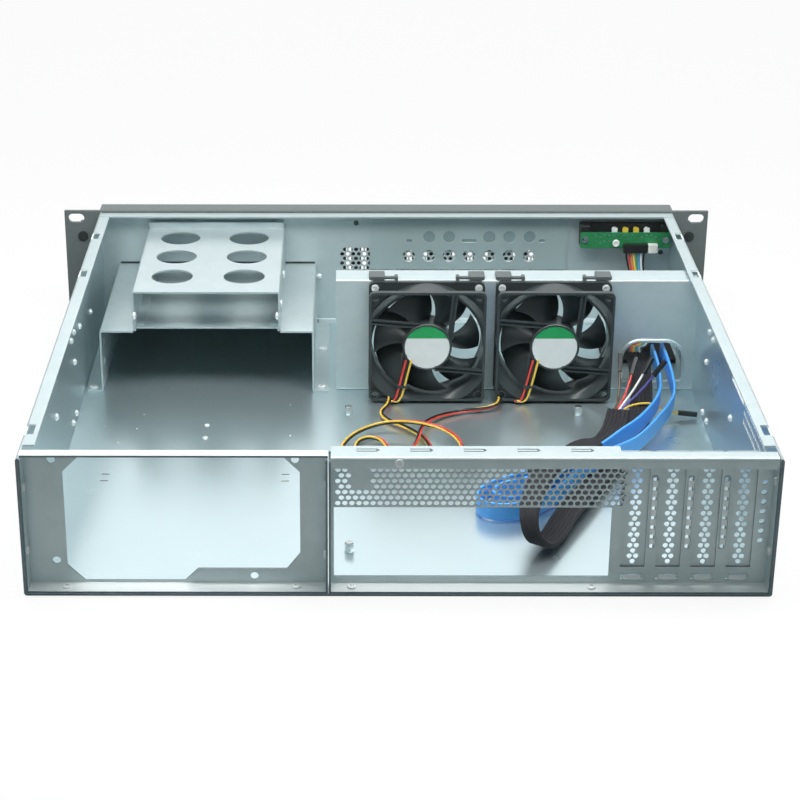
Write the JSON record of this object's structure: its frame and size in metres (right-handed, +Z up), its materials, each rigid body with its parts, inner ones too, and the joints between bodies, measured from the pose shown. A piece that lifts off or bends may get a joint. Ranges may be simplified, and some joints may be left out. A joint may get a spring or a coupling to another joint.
{
  "type": "2u rackmount server chassis",
  "caption": "Open-topped low rack server chassis of folded steel with perforated rear pans, drive brackets, a fan wall, rack ears, handles and loose inner cables.",
  "frame": {"origin": "on the surface that the chassis stands on, under the middle of its bounding box", "axes": "+X to the right seen from the rear, +Y from the rear towards the front, +Z up"},
  "size_m": [0.4826, 0.471, 0.088],
  "materials": {
    "galvanised_steel": "galvanised, satin",
    "dark_painted_steel": "satin paint",
    "bezel_plastic": "fine matte",
    "black_plastic": "moulded",
    "bright_steel": "plated",
    "board_green": "solder mask",
    "white_plastic": "moulded",
    "led_plastic": "clear resin",
    "lead_insulation": "smooth",
    "black_sleeve": "ribbed",
    "blue_insulation": "smooth",
    "ribbon_insulation": "smooth",
    "brown_insulation": "smooth",
    "red_insulation": "smooth",
    "white_insulation": "smooth",
    "purple_insulation": "smooth",
    "yellow_insulation": "smooth"
  },
  "bodies": {
    "chassis": {"base_tray": "galvanised_steel", "psu_rear_pan": "galvanised_steel", "io_rear_pan": "galvanised_steel", "rear_rail": "galvanised_steel", "slot_cover_1": "galvanised_steel", "slot_cover_2": "galvanised_steel", "slot_cover_3": "galvanised_steel", "slot_cover_4": "galvanised_steel", "front_panel": "galvanised_steel", "bay_blanking_plate": "galvanised_steel", "drive_bay_bracket": "galvanised_steel", "disk_bracket": "galvanised_steel", "fan_wall": "galvanised_steel", "front_plate": "dark_painted_steel", "front_bezel": "bezel_plastic", "bay_cover": "bezel_plastic", "button_switches": "black_plastic", "handle_left": "bright_steel", "handle_right": "bright_steel", "handle_screws": "bright_steel", "fan_left_frame": "black_plastic", "fan_right_frame": "black_plastic", "fan_clips": "black_plastic", "fan_screws": "bright_steel", "pan_screws": "bright_steel", "board_screws": "bright_steel", "board_standoffs": "bright_steel", "led_board": "board_green", "led_holder": "black_plastic", "pin_header": "black_plastic", "board_parts": "white_plastic", "status_leds": "led_plastic", "fan_lead_left": "lead_insulation", "fan_lead_right": "lead_insulation", "panel_loom": "black_sleeve", "blue_cable_outer": "blue_insulation", "blue_cable_inner": "blue_insulation", "panel_ribbon": "ribbon_insulation", "wire_brown": "brown_insulation", "wire_red": "red_insulation", "wire_white": "white_insulation", "wire_purple": "purple_insulation", "wire_yellow": "yellow_insulation", "fan_plugs": "black_plastic", "cable_plugs": "black_plastic", "wire_housings": "black_plastic"},
    "fan_left_wheel": {"fan_left_rotor": "black_plastic"},
    "fan_right_wheel": {"fan_right_rotor": "black_plastic"},
    "power_key": {"power_button": "bezel_plastic"},
    "reset_key": {"reset_button": "bezel_plastic"}
  },
  "joints": [
    {"name": "fan_left_spin", "type": "hinge", "parent": "chassis", "child": "fan_left_wheel", "pos_m": [0.0258, 0.0525, 0.0433], "axis": [0, 1, 0], "continuous": true},
    {"name": "fan_right_spin", "type": "hinge", "parent": "chassis", "child": "fan_right_wheel", "pos_m": [0.1134, 0.0525, 0.0433], "axis": [0, 1, 0], "continuous": true},
    {"name": "power_press", "type": "slide", "parent": "chassis", "child": "power_key", "axis": [0, -1, 0], "range_m": [0, 0.0025], "stiffness_N_per_m": 400, "springref_m": -0.001},
    {"name": "reset_press", "type": "slide", "parent": "chassis", "child": "reset_key", "axis": [0, -1, 0], "range_m": [0, 0.0025], "stiffness_N_per_m": 400, "springref_m": -0.001}
  ]
}
